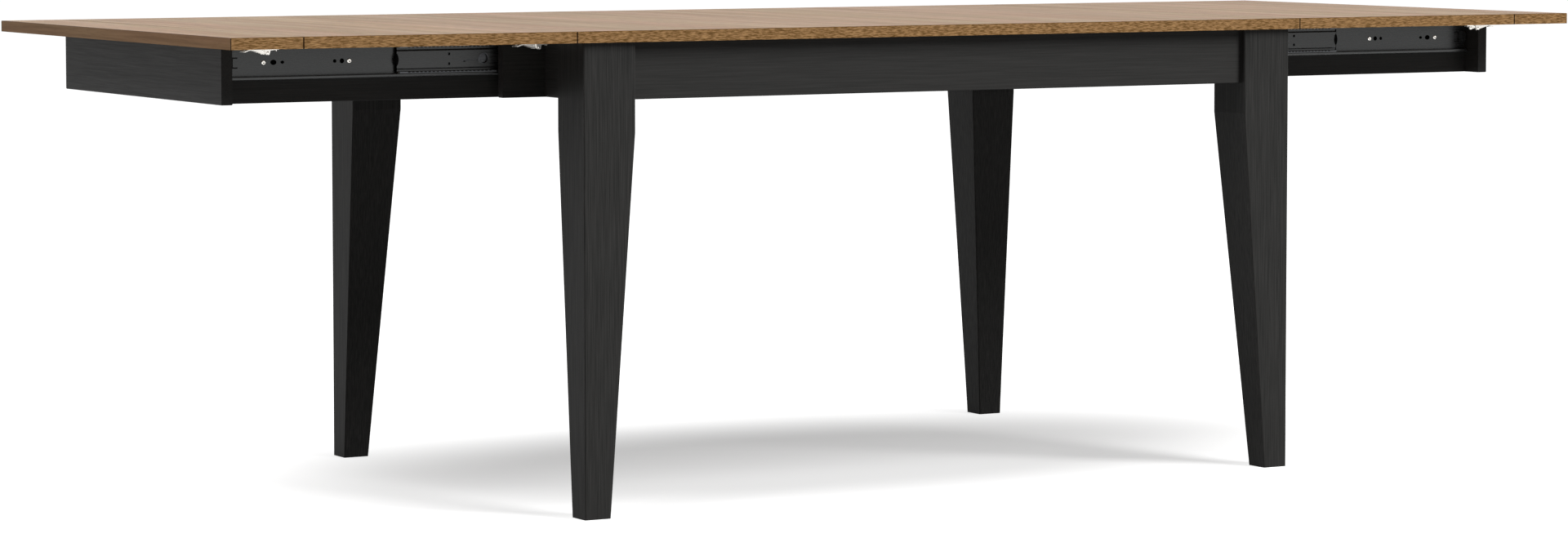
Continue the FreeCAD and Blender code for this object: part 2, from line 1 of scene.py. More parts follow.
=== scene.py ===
"""Looks for the extension dining table: its wood and metal finishes, the slides' balls and the fasteners."""

import math

import bmesh
import bpy
from bpy.props import FloatProperty, FloatVectorProperty, IntProperty, PointerProperty, StringProperty
from mathutils import Euler, Matrix, Vector


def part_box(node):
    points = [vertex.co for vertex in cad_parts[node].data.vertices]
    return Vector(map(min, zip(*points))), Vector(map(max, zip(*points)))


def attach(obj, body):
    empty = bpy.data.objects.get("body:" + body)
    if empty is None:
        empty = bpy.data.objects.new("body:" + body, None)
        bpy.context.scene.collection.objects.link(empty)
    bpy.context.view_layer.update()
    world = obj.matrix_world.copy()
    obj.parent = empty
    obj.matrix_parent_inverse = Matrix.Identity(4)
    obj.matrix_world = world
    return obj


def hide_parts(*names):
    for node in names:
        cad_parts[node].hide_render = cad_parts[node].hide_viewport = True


bl_info = {
    "name": "Extension Dining Table",
    "version": (1, 0, 0),
    "blender": (4, 5, 0),
    "location": "View3D > Sidebar > Dining Table",
    "description": "Finishes the wood and metal of an extension dining table and adds its small hardware",
    "category": "Object",
}

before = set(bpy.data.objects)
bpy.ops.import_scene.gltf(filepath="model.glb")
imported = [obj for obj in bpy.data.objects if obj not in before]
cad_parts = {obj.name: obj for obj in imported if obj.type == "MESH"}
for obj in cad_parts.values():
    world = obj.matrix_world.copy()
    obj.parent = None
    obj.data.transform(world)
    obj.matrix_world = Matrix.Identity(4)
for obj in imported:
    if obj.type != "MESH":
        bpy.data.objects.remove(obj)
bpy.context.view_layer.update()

MM = 0.001
SIDES = {"left": -1, "right": 1}
ROWS = {"front": -1, "back": 1}

# ---- places read from the frame, at the right-hand back corner -----------------------------------
panel_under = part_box("main_top")[0].z
rail_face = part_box("moving_rail_back_right")[1].y
outer_low, outer_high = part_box("slide_outer_right")
middle_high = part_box("slide_middle_right")[1]
cage_low, cage_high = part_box("ball_cages_outer_right")
slide_z = (outer_low.z + outer_high.z) / 2

# ---- fixed sizes of the small hardware -----------------------------------------------------------
# the slides: depths are measured from the moving rail
OUTER_WEB = 1.5 * MM        # to the front of the outer member's web
# painted shade: dark discs at the outer member's holes, just proud of its web, some of them oval
HOLE_SHADES = [                   # from the outer member's outboard end, half width, half height
    (79.8 * MM, 5.0 * MM, 4.0 * MM),
    (94.7 * MM, 3.0 * MM, 2.4 * MM),
    (182.1 * MM, 2.8 * MM, 2.8 * MM),
    (194.2 * MM, 3.6 * MM, 3.8 * MM),
]
SHADE_DISC_DEPTH = 0.4 * MM
SHADE_DISC_STEPS = 32
SCREW_HEIGHT = 1.35 * MM
SCREW_STEPS = 20
GREASE_BEAD = 0.3 * MM
END_SHADE_BACK = 4.2 * MM      # to the back of the black strip of painted shade on the middle member's end
END_SHADE_THICKNESS = 1.0 * MM
END_SHADE_HEIGHT = 37.0 * MM
END_SHADE_EASE = 0.2 * MM
RIM = [                     # beyond the latch hole's edge, height above the web
    (0.0, 0.0),
    (0.15 * MM, 0.18 * MM),
    (0.6 * MM, 0.22 * MM),
    (1.1 * MM, 0.16 * MM),
    (1.3 * MM, 0.0),
    (0.0, 0.0),
]
RIM_STEPS = 36

# the latches: places are from the seam outboard, from the latch's middle, and down from the panel
RIVET = [                   # radius, height above the ear
    (0, 0.7 * MM),
    (1.4 * MM, 0.6 * MM),
    (2.0 * MM, 0),
    (1.7 * MM, 0),
    (1.7 * MM, -3.2 * MM),
    (0, -3.2 * MM),
]
WIRE_END = [                # radius, height above the lever's cheek
    (0, 0.15 * MM),
    (1.1 * MM, 0.15 * MM),
    (1.25 * MM, 0),
    (1.25 * MM, -2.6 * MM),
    (0, -2.6 * MM),
]
RIVET_PLACE = (9.5 * MM, 11.0 * MM, 9.4 * MM)
WIRE_PLACE = (17.0 * MM, 9.3 * MM, 6.6 * MM)
PLATE_SCREW_PLACES = [(27.0 * MM, 11.2 * MM, 1.5 * MM), (39.0 * MM, 11.2 * MM, 1.5 * MM)]
KEEPER_SCREW_PLACE = (-18.5 * MM, 4.5 * MM, 1.3 * MM)
PLATE_SCREW_RADIUS = 2.6 * MM
PLATE_SCREW_HEIGHT = 1.1 * MM

# the leg bolts: places are along the bolt, from the leg's inner corner inwards
BLOCK_INSIDE = 30 * MM      # to the inner face of the corner block
BOLT_STANDS_OUT = 13 * MM   # from that face to the bolt's end
BOLT_LENGTH = 60 * MM
BOLT_EASE = 0.6 * MM
WASHER_RADIUS = 9 * MM
WASHER_THICKNESS = 1.6 * MM
NUT_HEIGHT = 6.5 * MM

# ---- the studio ----------------------------------------------------------------------------------
LAMPS = {                   # place, width, depth, power in watts
    "overhead_softbox": ((0.0, 0.2, 3.4), 7.0, 5.0, 25),
    "front_softbox": ((5.5, -9.8, 10.2), 6.0, 10.0, 2500),
    "side_softbox": ((-5.0, -1.0, 6.7), 3.0, 2.0, 225),
}
LAMP_TARGET = Vector((0.0, 0.0, 0.7))
SENSOR_WIDTH = 36           # millimetres
VIEW_END = 200
FLOOR_HALF_WIDTH = 30
FLOOR_SEEN = 0.55           # the floor's colour in the camera and in gloss
SHADE_PATCH_SCALE = [0.8, 1.5, 1.0]   # painted shade: the floor glows less in a soft oval under the table, wider along X than along Y
SHADE_PATCH_INNER, SHADE_PATCH_OUTER = 0.4, 1.1     # radii between which the painted shade fades out
SHADE_PATCH_GLOW = 0.4            # the floor's glow in the middle of the painted shade; 1 outside it


# ---- sizes and colours that a user would change --------------------------------------------------
def colour_setting(name, description, default):
    return StringProperty(name=name, description="sRGB hex of " + description, default=default)


def length_setting(name, description, default):
    return FloatProperty(name=name, description=description, default=default, unit="LENGTH", precision=5)


class OakSettings(bpy.types.PropertyGroup):
    light: colour_setting("Light wood", "the early wood", "a5815a")
    dark: colour_setting("Dark wood", "the late wood", "7c5a33")
    pores: colour_setting("Pores", "the open pores", "59401f")
    # painted shade: these two colours darken the eased edges, near black where they face sideways or down,
    # less dark where they face up
    arris: colour_setting("Arris", "the eased edge", "120b06")
    upper_bevel_shade: colour_setting("Top arris", "the rubbed arris round the top", "5c4226")
    edge_light: colour_setting("Edge light", "the palest grain on the edges", "b8905f")
    warm: colour_setting("Warm strips", "the tint on the redder strips", "fff4f2")
    olive: colour_setting("Cool strips", "the tint on the greener strips", "f6faea")
    figure: length_setting("Figure width", "Width of one band of the figure", 0.028)
    pore_width: length_setting("Pore width", "Width of one pore streak", 0.0012)
    edge_streak: length_setting("Edge streak", "Height of one streak on the long edges", 0.0012)
    leaf_width: length_setting("Veneer width", "Width of one strip of veneer", 0.12)


class StainSettings(bpy.types.PropertyGroup):
    ground: colour_setting("Stain", "the stained wood", "2b2b2a")
    streak: colour_setting("Streak", "the paler brushed lines", "3e3d3c")
    line_width: length_setting("Line width", "Width of one brushed line", 0.0016)


class SlideSettings(bpy.types.PropertyGroup):
    steel: colour_setting("Slide steel", "the plated steel", "3a3b3b")
    strip: colour_setting("Strip steel", "the cages and pressed rims", "55575a")
    bright: colour_setting("Bright plating", "the nickel", "f1eee8")
    ball: colour_setting("Balls", "the polished balls", "c8cacc")
    ball_diameter: length_setting("Ball diameter", "Balls of the outer rows", 0.0044)
    ball_pitch: length_setting("Ball pitch", "From one ball to the next", 0.007)
    row_depth: length_setting("Row depth", "From the moving rail to the ball row", 0.0088)
    row_height: length_setting("Row height", "From the slide's centre to a ball row", 0.0227)
    cage_blank: length_setting("Cage blank", "Plain stretch at the outboard end of a cage", 0.0125)
    cage_gauge: length_setting("Cage gauge", "Thickness of a cage's strip", 0.0006)
    cage_fold: length_setting("Cage fold", "Size of the cage's corner folds", 0.001)
    cage_back: length_setting("Cage back", "From the moving rail to a cage's web", 0.0031)
    cage_edge: length_setting("Cage edge", "Width of the edge turned in at the front", 0.0016)
    notch: length_setting("Notch", "How deep the turned-in edge is notched at a ball", 0.0013)
    screw_head: length_setting("Screw head", "Diameter of a slide screw's head", 0.0078)
    first_screw: length_setting("First screw", "From the outer member's outboard end", 0.0635)
    second_screw: length_setting("Second screw", "From the outer member's outboard end", 0.2066)
    web_depth: length_setting("Web depth", "From the moving rail to the middle member's web", 0.0077)
    latch_hole: length_setting("Latch hole", "From the middle member's end to its latch hole", 0.149)
    latch_radius: length_setting("Latch hole radius", "Radius of the latch hole", 0.0076)


class HardwareSettings(bpy.types.PropertyGroup):
    bolt_steel: colour_setting("Bolt plating", "the leg bolts", "a9abab")
    base_width: length_setting("Base width", "Width of a latch's plate", 0.028)
    bolt_diameter: length_setting("Leg bolt", "Diameter of the bolt through each corner block", 0.008)
    nut_width: length_setting("Leg nut", "Width of the nut across its flats", 0.013)
    steps: IntProperty(name="Steps", description="Flats round a turned piece", default=20, min=6)


class StudioSettings(bpy.types.PropertyGroup):
    place: FloatVectorProperty(
        name="Camera place",
        description="Where the camera stands",
        default=(-3.9422, -6.8522, 0.9974),
        unit="LENGTH",
    )
    heading: FloatProperty(
        name="Heading",
        description="Turn of the view from straight ahead",
        default=math.radians(30.1545),
        unit="ROTATION",
    )
    pitch: FloatProperty(
        name="Pitch",
        description="Tilt of the view above the horizon",
        default=math.radians(-3.7949),
        unit="ROTATION",
    )
    lens: FloatProperty(name="Lens", description="Focal length in millimetres", default=106.65)
    shift_x: FloatProperty(name="Shift across", description="Sideways shift of the lens", default=-0.026)
    shift_y: FloatProperty(name="Shift up", description="Upward shift of the lens", default=-0.0565)
    sky: FloatProperty(name="Sky", description="Strength of the plain light from all round", default=0.03)
    bounce: FloatProperty(name="Bounce", description="Share of light the floor gives back", default=0.3)


# ---- materials -----------------------------------------------------------------------------------
def linear(code):
    """An sRGB hex value as the linear colour that a shader takes."""
    parts = [int(code[k:k + 2], 16) / 255 for k in (0, 2, 4)]
    return [c / 12.92 if c <= 0.04045 else ((c + 0.055) / 1.055) ** 2.4 for c in parts] + [1.0]


def add(tree, kind, inputs=None, **settings):
    """Add a node. An input is a value, or the output socket that feeds it."""
    node = tree.nodes.new(kind)
    for name, value in settings.items():
        setattr(node, name, value)
    for name, value in (inputs or {}).items():
        if isinstance(value, bpy.types.NodeSocket):
            tree.links.new(value, node.inputs[name])
        else:
            node.inputs[name].default_value = value
    return node


def material(name):
    made = bpy.data.materials.new(name)
    made.use_nodes = True
    return made, made.node_tree, made.node_tree.nodes["Principled BSDF"]


def ramp(tree, factor, stops):
    node = add(tree, "ShaderNodeValToRGB", {"Fac": factor})
    elements = node.color_ramp.elements
    while len(elements) < len(stops):
        elements.new(0.5)
    for element, (position, value) in zip(elements, stops):
        element.position = position
        element.color = value
    return node.outputs["Color"]


def grey(value):
    return [value, value, value, 1.0]


def mixed(tree, factor, first, second, blend="MIX"):
    node = add(tree, "ShaderNodeMix", data_type="RGBA", blend_type=blend)
    for index, value in ((0, factor), (6, first), (7, second)):
        if isinstance(value, bpy.types.NodeSocket):
            tree.links.new(value, node.inputs[index])
        else:
            node.inputs[index].default_value = value
    return node.outputs[2]


def streaks(tree, coordinates, width, length, axis, detail):
    """Noise drawn out along one axis, as wood grain is: width and length are in metres."""
    scale = [1 / width] * 3
    scale[axis] = 1 / length
    mapping = add(tree, "ShaderNodeMapping", {"Vector": coordinates, "Scale": scale})
    inputs = {"Vector": mapping.outputs["Vector"], "Scale": 1.0, "Detail": detail, "Roughness": 0.6}
    return add(tree, "ShaderNodeTexNoise", inputs).outputs["Fac"]


def veneer_colour(tree, place, settings):
    """The colour of flat-cut veneer, and the same without its open pores; also its figure and its pores."""
    light, dark = linear(settings.light), linear(settings.dark)
    figure = streaks(tree, place, settings.figure, settings.figure * 26, 1, 4.0)
    fine = streaks(tree, place, settings.figure / 6, settings.figure * 9, 1, 5.0)
    pores = streaks(tree, place, settings.pore_width, settings.pore_width * 34, 1, 3.0)
    wood = ramp(tree, figure, [(0.33, dark), (0.66, light)])
    wood = mixed(tree, 0.45, wood, ramp(tree, fine, [(0.36, dark), (0.62, light)]))
    strips = {"Vector": place, "Scale": [1 / settings.leaf_width, 0.0, 0.0], "Location": [0.37, 0.0, 0.0]}
    strip = add(tree, "ShaderNodeMapping", strips).outputs["Vector"]
    number = add(tree, "ShaderNodeVectorMath", {0: strip}, operation="FLOOR").outputs["Vector"]
    cell = add(tree, "ShaderNodeTexWhiteNoise", {"Vector": number}, noise_dimensions="3D")
    tone = ramp(tree, cell.outputs["Value"], [(0.0, grey(0.88)), (1.0, grey(1.0))])
    wood = mixed(tree, 1.0, wood, tone, "MULTIPLY")
    hue = streaks(tree, place, settings.leaf_width / 2, settings.leaf_width * 12, 1, 2.0)
    tint = ramp(tree, hue, [(0.4, linear(settings.warm)), (0.6, linear(settings.olive))])
    smooth = mixed(tree, 1.0, wood, tint, "MULTIPLY")
    holes = ramp(tree, pores, [(0.36, grey(0.0)), (0.47, grey(1.0))])
    open_grained = mixed(tree, holes, linear(settings.pores), smooth)
    return open_grained, smooth, figure, pores


def banding_colour(tree, place, settings):
    """The colour of the short-grained strip along the long edges: coarser, and flecked."""
    light, dark, pores = linear(settings.light), linear(settings.dark), linear(settings.pores)
    pale = linear(settings.edge_light)
    flecks = streaks(tree, place, settings.edge_streak, settings.edge_streak * 9, 0, 6.0)
    banding = ramp(tree, flecks, [(0.41, pores), (0.48, dark), (0.54, light), (0.64, pale)])
    lines = streaks(tree, place, settings.edge_streak / 3, settings.edge_streak * 12, 0, 4.0)
    return mixed(tree, 0.3, banding, ramp(tree, lines, [(0.42, pores), (0.57, light)]))


def oak(settings):
    """Open-grain oak veneer, stained mid brown under a matt lacquer.

    It shows soft bands across the table and fine dark pores, which are fainter on the short edges. The long
    edges are banded, and the eased edges carry painted shade, darkest where they face sideways or down.
    """
    made, tree, shader = material("oak_veneer_matt_lacquer")
    coordinates = add(tree, "ShaderNodeTexCoord").outputs
    place = coordinates["Object"]
    wood, smooth, figure, pores = veneer_colour(tree, place, settings)
    facing = add(tree, "ShaderNodeVectorMath", {0: coordinates["Normal"]}, operation="ABSOLUTE")
    axes = add(tree, "ShaderNodeSeparateXYZ", {"Vector": facing.outputs["Vector"]}).outputs
    short_edge = ramp(tree, axes["X"], [(0.88, grey(0.0)), (0.94, grey(0.7))])
    wood = mixed(tree, short_edge, wood, smooth)
    long_edge = ramp(tree, axes["Y"], [(0.88, grey(0.0)), (0.94, grey(1.0))])
    wood = mixed(tree, long_edge, wood, banding_colour(tree, place, settings))
    level = add(tree, "ShaderNodeMath", {0: axes["X"], 1: axes["Y"]}, operation="MAXIMUM").outputs["Value"]
    squareness = add(tree, "ShaderNodeMath", {0: level, 1: axes["Z"]}, operation="MAXIMUM").outputs["Value"]
    # painted shade on the eased edges: near black where they face sideways or down, less dark where they
    # face up
    bevel = ramp(tree, squareness, [(0.86, grey(1.0)), (0.94, grey(0.0))])
    upper = ramp(tree, axes["Z"], [(0.2, grey(0.0)), (0.4, grey(1.0))])
    arris = mixed(tree, upper, linear(settings.arris), linear(settings.upper_bevel_shade))
    tree.links.new(mixed(tree, bevel, wood, arris), shader.inputs["Base Color"])
    relief = add(tree, "ShaderNodeBump", {"Height": pores, "Strength": 0.12, "Distance": 0.2 * MM})
    tree.links.new(relief.outputs["Normal"], shader.inputs["Normal"])
    shine = ramp(tree, figure, [(0.3, grey(0.36)), (0.7, grey(0.3))])
    tree.links.new(shine, shader.inputs["Roughness"])
    shader.inputs["Specular IOR Level"].default_value = 0.03
    return made


def stained_wood(settings, axis):
    """Black-stained, wire-brushed hardwood: paler fine lines along the grain, nearly matt.

    The lines are softer where the grain runs level than where it stands upright.
    """
    made, tree, shader = material("black_stained_wood_" + "xyz"[axis])
    place = add(tree, "ShaderNodeTexCoord").outputs["Object"]
    lines = streaks(tree, place, settings.line_width, settings.line_width * 60, axis, 4.0)
    bands = streaks(tree, place, settings.line_width * 9, settings.line_width * 220, axis, 3.0)
    ground, streak = linear(settings.ground), linear(settings.streak)
    if axis < 2:
        softer = [(3 * a + b) / 4 for a, b in zip(ground, streak)]
        streak = [(a + 3 * b) / 4 for a, b in zip(ground, streak)]
        ground = softer
    wood = ramp(tree, lines, [(0.38, ground), (0.72, streak)])
    shade = ramp(tree, bands, [(0.3, grey(0.93)), (0.7, grey(1.0))])
    wood = mixed(tree, 1.0, wood, shade, "MULTIPLY")
    tree.links.new(wood, shader.inputs["Base Color"])
    relief = add(tree, "ShaderNodeBump", {"Height": lines, "Strength": 0.12, "Distance": 0.25 * MM})
    tree.links.new(relief.outputs["Normal"], shader.inputs["Normal"])
    shine = ramp(tree, lines, [(0.3, grey(0.5)), (0.7, grey(0.38))])
    tree.links.new(shine, shader.inputs["Roughness"])
    shader.inputs["Specular IOR Level"].default_value = 0.043
    return made


def plated_steel(name, code, metallic, rough, grain):
    """Rolled and plated steel: an even metal with a slight cloudiness from rolling."""
    made, tree, shader = material(name)
    place = add(tree, "ShaderNodeTexCoord").outputs["Object"]
    rolled = streaks(tree, place, grain, grain * 20, 0, 3.0)
    base = linear(code)
    worn = [c * 0.82 for c in base[:3]] + [1.0]
    tree.links.new(ramp(tree, rolled, [(0.35, worn), (0.65, base)]), shader.inputs["Base Color"])
    low, high = grey(rough - 0.05), grey(rough + 0.07)
    tree.links.new(ramp(tree, rolled, [(0.3, low), (0.7, high)]), shader.inputs["Roughness"])
    shader.inputs["Metallic"].default_value = metallic
    return made


def dark_skin(name, colours, width, length, rough, specular):
    """A near-black surface that is no metal, mottled by its skin: one mark is width by length."""
    made, tree, shader = material(name)
    place = add(tree, "ShaderNodeTexCoord").outputs["Object"]
    skin = streaks(tree, place, width, length, 0, 2.0)
    low, high = (linear(code) for code in colours)
    tree.links.new(ramp(tree, skin, [(0.3, low), (0.7, high)]), shader.inputs["Base Color"])
    shader.inputs["Roughness"].default_value = rough
    shader.inputs["Specular IOR Level"].default_value = specular
    return made


def grease_and_shade():
    """Slide grease, dark with steel dust: soft and a little wet; behind the cage's notches it is also
    painted shade.
    """
    return dark_skin("grease_and_shade", ("070707", "121110"), 1.0 * MM, 3.0 * MM, 0.55, 0.2)


def painted_shade_material():
    """Painted shade: near black with no shine, for the holes and the end gap of the slides, where only shade
    is seen.
    """
    return dark_skin("painted_shade_black", ("020202", "0a0a0a"), 0.4 * MM, 0.4 * MM, 0.9, 0.0)


def moulded_rubber():
    """Moulded black rubber: dull, with a fine skin from the mould."""
    return dark_skin("moulded_rubber", ("080808", "111111"), 0.4 * MM, 0.4 * MM, 0.8, 0.03)


# ---- pieces --------------------------------------------------------------------------------------
def finish_nodes(names, made):
    """Give CAD nodes a material in place of their own."""
    for name in names:
        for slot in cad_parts[name].material_slots:
            slot.material = made


def new_piece(name, shape, body, made, smooth=True):
    """Turn a finished bmesh into a piece that rides on a body."""
    bmesh.ops.recalc_face_normals(shape, faces=shape.faces)
    for face in shape.faces:
        face.smooth = smooth
    mesh = bpy.data.meshes.new(name)
    shape.to_mesh(mesh)
    shape.free()
    mesh.materials.append(made)
    piece = bpy.data.objects.new(name, mesh)
    bpy.context.scene.collection.objects.link(piece)
    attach(piece, body)
    return piece


def turned(shape, profile, place, direction, steps):
    """Spin a profile of (radius, height) points round an axis that starts at place."""
    points = [shape.verts.new((radius, 0, height)) for radius, height in profile]
    edges = [shape.edges.new(pair) for pair in zip(points, points[1:])]
    made = bmesh.ops.spin(
        shape,
        geom=points + edges,
        axis=(0, 0, 1),
        cent=(0, 0, 0),
        angle=2 * math.pi,
        steps=steps,
        use_merge=True,
    )
    found = {v for item in made["geom_last"] for v in getattr(item, "verts", [item])}
    found = connected(points + list(found))
    bmesh.ops.remove_doubles(shape, verts=list(found), dist=1e-6)
    found = {v for v in found if v.is_valid}
    turn = Vector((0, 0, 1)).rotation_difference(Vector(direction)).to_matrix().to_4x4()
    bmesh.ops.transform(shape, matrix=Matrix.Translation(place) @ turn, verts=list(found))


def connected(start):
    """Every vertex that edges join to the given ones."""
    seen, waiting = set(), [v for v in start if v.is_valid]
    while waiting:
        vertex = waiting.pop()
        if vertex not in seen:
            seen.add(vertex)
            waiting += [edge.other_vert(vertex) for edge in vertex.link_edges]
    return seen


def ease(shape, edges, offset):
    """Round over edges of a shape."""
    bmesh.ops.bevel(shape, geom=edges, offset=offset, segments=2, profile=0.5, affect="EDGES", material=-1)


def pan_head(radius, height):
    """A screw's rounded head with a recess for the driver."""
    return [
        (0, height * 0.35),
        (radius * 0.32, height * 0.45),
        (radius * 0.36, height * 0.95),
        (radius * 0.7, height * 0.85),
        (radius * 0.92, height * 0.5),
        (radius, 0),
        (0, 0),
    ]


def at_corner(point, side, row):
    """A point drawn at the right-hand back corner, moved to its like corner by the two signs."""
    return Vector((point.x * side, point.y * row, point.z))


def window_places(settings):
    """Where the windows of an outer cage are, along the table at its right-hand end."""
    room = cage_high.x - cage_low.x - settings.cage_blank - settings.ball_pitch / 2
    first = cage_high.x - settings.cage_blank - settings.ball_pitch / 2
    return [first - settings.ball_pitch * k for k in range(int(room // settings.ball_pitch))]


def cage_strip(settings):
    """One outer cage, at the right-hand back corner: a folded strip, open at each ball."""
    shape = bmesh.new()
    radius, fold = settings.ball_diameter / 2, settings.cage_fold
    back, front = rail_face + settings.cage_back, cage_high.y
    skin = (cage_high.z - cage_low.z) / 2
    row = rail_face + settings.row_depth
    lip = skin - fold - settings.cage_edge
    half = [
        (front, lip),
        (front, lip + settings.notch),
        (front, skin - fold),
        (front - fold, skin),
        (row + radius, skin),
        (row - radius, skin),
        (back + fold, skin),
        (back, skin - fold),
    ]
    stations = [cage_low.x]
    for x in reversed(window_places(settings)):
        stations += [x - radius, x + radius]
    stations.append(cage_high.x)
    section = [(y, -v) for y, v in half] + half[::-1]
    points = [shape.verts.new((cage_low.x, y, slide_z + v)) for y, v in section]
    edges = [shape.edges.new(pair) for pair in zip(points, points[1:])]
    for here, there in zip(stations, stations[1:]):
        made = bmesh.ops.extrude_edge_only(shape, edges=edges)["geom"]
        moved = {item for item in made if isinstance(item, bmesh.types.BMVert)}
        bmesh.ops.translate(shape, verts=list(moved), vec=(there - here, 0, 0))
        edges = [item for item in made if isinstance(item, bmesh.types.BMEdge)]
        edges = [edge for edge in edges if moved.issuperset(edge.verts)]
    openings = []
    for face in shape.faces:
        middle = face.calc_center_median()
        height = abs(middle.z - slide_z)
        at_ball = any(abs(middle.x - x) < radius / 2 for x in window_places(settings))
        in_notch = abs(middle.y - front) < fold / 4 and height < lip + settings.notch
        in_pocket = abs(middle.y - row) < radius / 4 and height > skin - fold / 4
        if at_ball and (in_notch or in_pocket):
            openings.append(face)
    bmesh.ops.delete(shape, geom=openings, context="FACES")
    bmesh.ops.recalc_face_normals(shape, faces=shape.faces)
    bmesh.ops.solidify(shape, geom=shape.faces, thickness=settings.cage_gauge)
    return shape


def join(shape, other, matrix):
    """Add a copy of another bmesh to a shape, placed by a matrix."""
    mesh = bpy.data.meshes.new("copy")
    other.to_mesh(mesh)
    before = len(shape.verts)
    shape.from_mesh(mesh)
    shape.verts.ensure_lookup_table()
    bmesh.ops.transform(shape, matrix=matrix, verts=shape.verts[before:])
    bpy.data.meshes.remove(mesh)


# ---- operators -----------------------------------------------------------------------------------
class FinishPanels(bpy.types.Operator):
    """Veneer the fixed top, the leaves and the end panels"""
    bl_idname = "dining_table.finish_panels"
    bl_label = "Finish the panels"

    def execute(self, context):
        names = ["main_top"]
        for side in SIDES:
            names += [f"leaf_{side}", f"end_panel_{side}"]
        finish_nodes(names, oak(context.scene.table_oak))
        return {"FINISHED"}


class FinishBase(bpy.types.Operator):
    """Stain the legs, aprons, bearers, rails and blocks, each with its grain along its length"""
    bl_idname = "dining_table.finish_base"
    bl_label = "Stain the base"

    def execute(self, context):
        along = {0: [], 1: ["short_aprons", "centre_cross_rail"], 2: ["corner_blocks"]}
        for row in ROWS:
            along[0] += [f"apron_{row}", f"bearer_{row}"]
            for side in SIDES:
                along[0].append(f"moving_rail_{row}_{side}")
                along[2].append(f"leg_{row}_{side}")
        for side in SIDES:
            along[1] += [f"end_apron_{side}", f"end_brace_{side}"]
        for axis, names in along.items():
            finish_nodes(names, stained_wood(context.scene.table_stain, axis))
        return {"FINISHED"}


